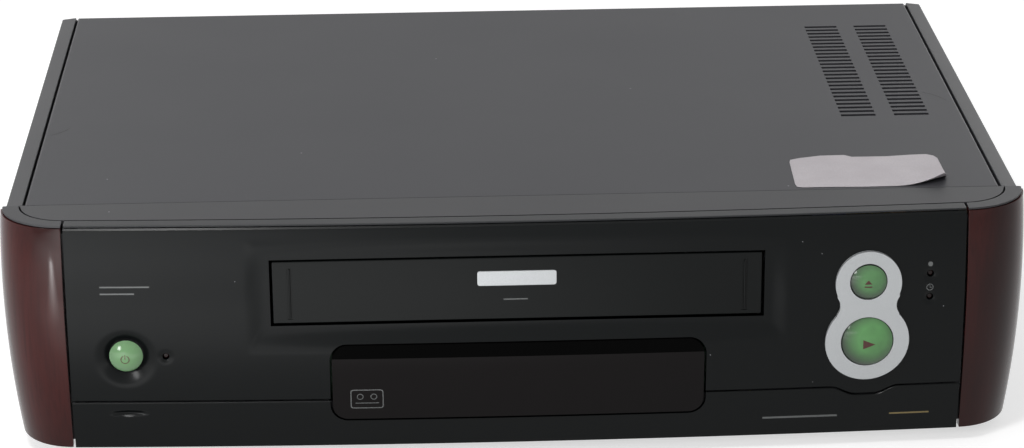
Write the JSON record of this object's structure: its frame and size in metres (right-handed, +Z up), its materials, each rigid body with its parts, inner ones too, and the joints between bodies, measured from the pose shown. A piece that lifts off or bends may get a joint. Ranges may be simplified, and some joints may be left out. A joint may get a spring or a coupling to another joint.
{
  "type": "video cassette recorder",
  "caption": "Front-loading video cassette recorder with swing-in cassette flap, drop-down control flap, round push buttons and a full tape deck inside.",
  "frame": {"origin": "centre of the overall box in plan, on the surface the feet stand on", "axes": "+X to the viewer's right across the front, +Y from the front to the rear, +Z up"},
  "size_m": [0.4394, 0.31, 0.108],
  "materials": {
    "cover_metal": "satin grey paint on folded steel sheet",
    "case_plastic": "satin grey moulded plastic to match the cover",
    "ledge_plastic": "satin dark grey moulded plastic",
    "cheek_plastic": "high gloss dark red moulded plastic",
    "fascia_plastic": "semi gloss near black moulded plastic",
    "window_plastic": "polished smoked black acrylic",
    "bezel_silver": "satin silver painted plastic",
    "button_green": "polished pale green plastic",
    "lens_red": "clear dark red plastic",
    "key_plastic": "fine grained charcoal plastic",
    "record_red": "fine grained red plastic",
    "socket_colours": "yellow, white and red plastic rings on nickel barrels",
    "board_green": "solder resist on laminate",
    "board_brown": "phenolic paper laminate",
    "display_glass": "smoked glass",
    "chassis_steel": "zinc plated steel sheet",
    "rear_black": "satin black paint on steel sheet",
    "foot_rubber": "matt black rubber",
    "screw_steel": "dark zinc plated steel",
    "socket_black": "matt black moulded plastic",
    "socket_nickel": "nickel plate",
    "transformer_tape": "yellow winding tape over ferrite",
    "capacitor_sleeve": "dark blue shrink sleeve",
    "tin_plate": "bright tin plate",
    "deck_steel": "zinc plated steel sheet",
    "drum_aluminium": "finely turned",
    "shaft_steel": "ground steel",
    "motor_steel": "plated steel can",
    "roller_rubber": "matt black rubber",
    "gear_plastic": "natural acetal",
    "pinion_brass": "turned brass"
  },
  "bodies": {
    "case": {"top_cover": "cover_metal", "front_frame": "case_plastic", "ledge_strip": "ledge_plastic", "corner_caps": "case_plastic", "left_cheek": "cheek_plastic", "right_cheek": "cheek_plastic", "left_side_panel": "case_plastic", "right_side_panel": "case_plastic", "front_fascia": "fascia_plastic", "display_window": "window_plastic", "button_bezel": "bezel_silver", "indicator_lenses": "lens_red", "front_av_sockets": "socket_colours", "front_board": "board_green", "display_tube": "display_glass", "chassis_base": "chassis_steel", "rear_panel": "rear_black", "feet": "foot_rubber", "cover_screws": "screw_steel", "scart_sockets": "socket_black", "aerial_sockets": "socket_nickel", "audio_sockets": "socket_colours", "mains_inlet": "socket_black", "main_board": "board_green", "power_board": "board_brown", "transformer": "transformer_tape", "capacitors": "capacitor_sleeve", "tuner_can": "tin_plate", "deck_plate": "deck_steel", "carriage_frame": "deck_steel", "lower_drum": "drum_aluminium", "capstan_motor": "motor_steel", "drive_belt": "roller_rubber", "loading_motor": "motor_steel", "tape_heads": "drum_aluminium"},
    "cassette_flap": {"cassette_flap": "fascia_plastic"},
    "control_flap": {"control_flap": "fascia_plastic"},
    "standby_button": {"standby_button": "button_green"},
    "eject_button": {"eject_button": "button_green"},
    "play_button": {"play_button": "button_green"},
    "rewind_key": {"rewind_key": "key_plastic"},
    "stop_key": {"stop_key": "key_plastic"},
    "forward_key": {"forward_key": "key_plastic"},
    "record_key": {"record_key": "record_red"},
    "channel_rocker": {"channel_rocker": "key_plastic"},
    "carriage_slider": {"carriage_slider": "deck_steel"},
    "cassette_basket": {"cassette_basket": "deck_steel"},
    "upper_drum": {"upper_drum": "drum_aluminium"},
    "capstan": {"capstan": "shaft_steel"},
    "pinch_arm": {"pinch_arm": "deck_steel"},
    "pinch_roller": {"pinch_roller": "roller_rubber"},
    "supply_reel": {"supply_reel_table": "gear_plastic"},
    "take_up_reel": {"take_up_reel_table": "gear_plastic"},
    "idler_arm": {"idler_arm": "deck_steel"},
    "idler_wheel": {"idler_wheel": "roller_rubber"},
    "centre_pulley": {"centre_pulley": "gear_plastic"},
    "cam_gear": {"cam_gear": "gear_plastic"},
    "motor_pinion": {"motor_pinion": "pinion_brass"},
    "supply_loading_arm": {"supply_loading_arm": "deck_steel"},
    "take_up_loading_arm": {"take_up_loading_arm": "deck_steel"}
  },
  "joints": [
    {"name": "cassette_flap_swing", "type": "hinge", "parent": "case", "child": "cassette_flap", "pos_m": [0, -0.14795, 0.09055], "axis": [1, 0, 0], "range_deg": [0, 90], "stiffness_Nm_per_rad": 0.004, "springref_deg": -11.46},
    {"name": "control_flap_swing", "type": "hinge", "parent": "case", "child": "control_flap", "pos_m": [0, -0.1415, 0.0102], "axis": [1, 0, 0], "range_deg": [0, 90]},
    {"name": "standby_press", "type": "slide", "parent": "case", "child": "standby_button", "axis": [0, 1, 0], "range_m": [0, 0.0015], "stiffness_N_per_m": 400, "springref_m": -0.001},
    {"name": "eject_press", "type": "slide", "parent": "case", "child": "eject_button", "axis": [0, 1, 0], "range_m": [0, 0.0015], "stiffness_N_per_m": 400, "springref_m": -0.001},
    {"name": "play_press", "type": "slide", "parent": "case", "child": "play_button", "axis": [0, 1, 0], "range_m": [0, 0.0015], "stiffness_N_per_m": 400, "springref_m": -0.001},
    {"name": "rewind_press", "type": "slide", "parent": "case", "child": "rewind_key", "axis": [0, 1, 0], "range_m": [0, 0.0015], "stiffness_N_per_m": 400, "springref_m": -0.001},
    {"name": "stop_press", "type": "slide", "parent": "case", "child": "stop_key", "axis": [0, 1, 0], "range_m": [0, 0.0015], "stiffness_N_per_m": 400, "springref_m": -0.001},
    {"name": "forward_press", "type": "slide", "parent": "case", "child": "forward_key", "axis": [0, 1, 0], "range_m": [0, 0.0015], "stiffness_N_per_m": 400, "springref_m": -0.001},
    {"name": "record_press", "type": "slide", "parent": "case", "child": "record_key", "axis": [0, 1, 0], "range_m": [0, 0.0015], "stiffness_N_per_m": 400, "springref_m": -0.001},
    {"name": "channel_rock", "type": "hinge", "parent": "case", "child": "channel_rocker", "pos_m": [0.172, -0.14, 0.02], "axis": [0, 0, 1], "range_deg": [-5, 5], "stiffness_Nm_per_rad": 0.02},
    {"name": "carriage_back", "type": "slide", "parent": "case", "child": "carriage_slider", "axis": [0, 1, 0], "range_m": [0, 0.045]},
    {"name": "basket_drop", "type": "slide", "parent": "carriage_slider", "child": "cassette_basket", "axis": [0, 0, -1], "range_m": [0, 0.027]},
    {"name": "drum_spin", "type": "hinge", "parent": "case", "child": "upper_drum", "pos_m": [-0.005, 0.022, 0.032], "axis": [0, 0.1045, 0.9945], "continuous": true},
    {"name": "capstan_spin", "type": "hinge", "parent": "case", "child": "capstan", "pos_m": [0.062, -0.016, 0.02], "axis": [0, 0, 1], "continuous": true},
    {"name": "centre_pulley_spin", "type": "hinge", "parent": "case", "child": "centre_pulley", "pos_m": [0, -0.058, 0.02], "axis": [0, 0, 1], "continuous": true},
    {"name": "pinch_arm_swing", "type": "hinge", "parent": "case", "child": "pinch_arm", "pos_m": [0.084, 0.004, 0.05], "axis": [0, 0, 1], "range_deg": [0, 35]},
    {"name": "pinch_roller_spin", "type": "hinge", "parent": "pinch_arm", "child": "pinch_roller", "pos_m": [0.05878, 0.00945, 0.048], "axis": [0, 0, 1], "continuous": true},
    {"name": "supply_reel_spin", "type": "hinge", "parent": "case", "child": "supply_reel", "pos_m": [-0.046, -0.082, 0.03], "axis": [0, 0, 1], "continuous": true},
    {"name": "take_up_reel_spin", "type": "hinge", "parent": "case", "child": "take_up_reel", "pos_m": [0.046, -0.082, 0.03], "axis": [0, 0, 1], "continuous": true},
    {"name": "idler_arm_swing", "type": "hinge", "parent": "case", "child": "idler_arm", "pos_m": [0, -0.058, 0.034], "axis": [0, 0, 1], "range_deg": [-30, 30]},
    {"name": "idler_wheel_spin", "type": "hinge", "parent": "idler_arm", "child": "idler_wheel", "pos_m": [0, -0.0771, 0.031], "axis": [0, 0, 1], "continuous": true},
    {"name": "cam_turn", "type": "hinge", "parent": "case", "child": "cam_gear", "pos_m": [-0.086, 0.03, 0.032], "axis": [0, 0, 1], "range_deg": [0, 264]},
    {"name": "motor_pinion_spin", "type": "hinge", "parent": "case", "child": "motor_pinion", "pos_m": [-0.086, 0.055, 0.032], "axis": [0, 0, 1], "range_deg": [-1056, 0]},
    {"name": "take_up_arm_swing", "type": "hinge", "parent": "case", "child": "take_up_loading_arm", "pos_m": [0.01, 0.0007, 0.0245], "axis": [0, 0, 1], "range_deg": [0, 132]},
    {"name": "supply_arm_swing", "type": "hinge", "parent": "case", "child": "supply_loading_arm", "pos_m": [-0.02, 0.0007, 0.0245], "axis": [0, 0, 1], "range_deg": [-132, 0]}
  ],
  "couplings": [
    {"joint": "centre_pulley_spin", "follows": "capstan_spin", "ratio": 0.38889},
    {"joint": "motor_pinion_spin", "follows": "cam_turn", "ratio": -4},
    {"joint": "take_up_arm_swing", "follows": "cam_turn", "ratio": 0.5},
    {"joint": "supply_arm_swing", "follows": "cam_turn", "ratio": -0.5}
  ]
}
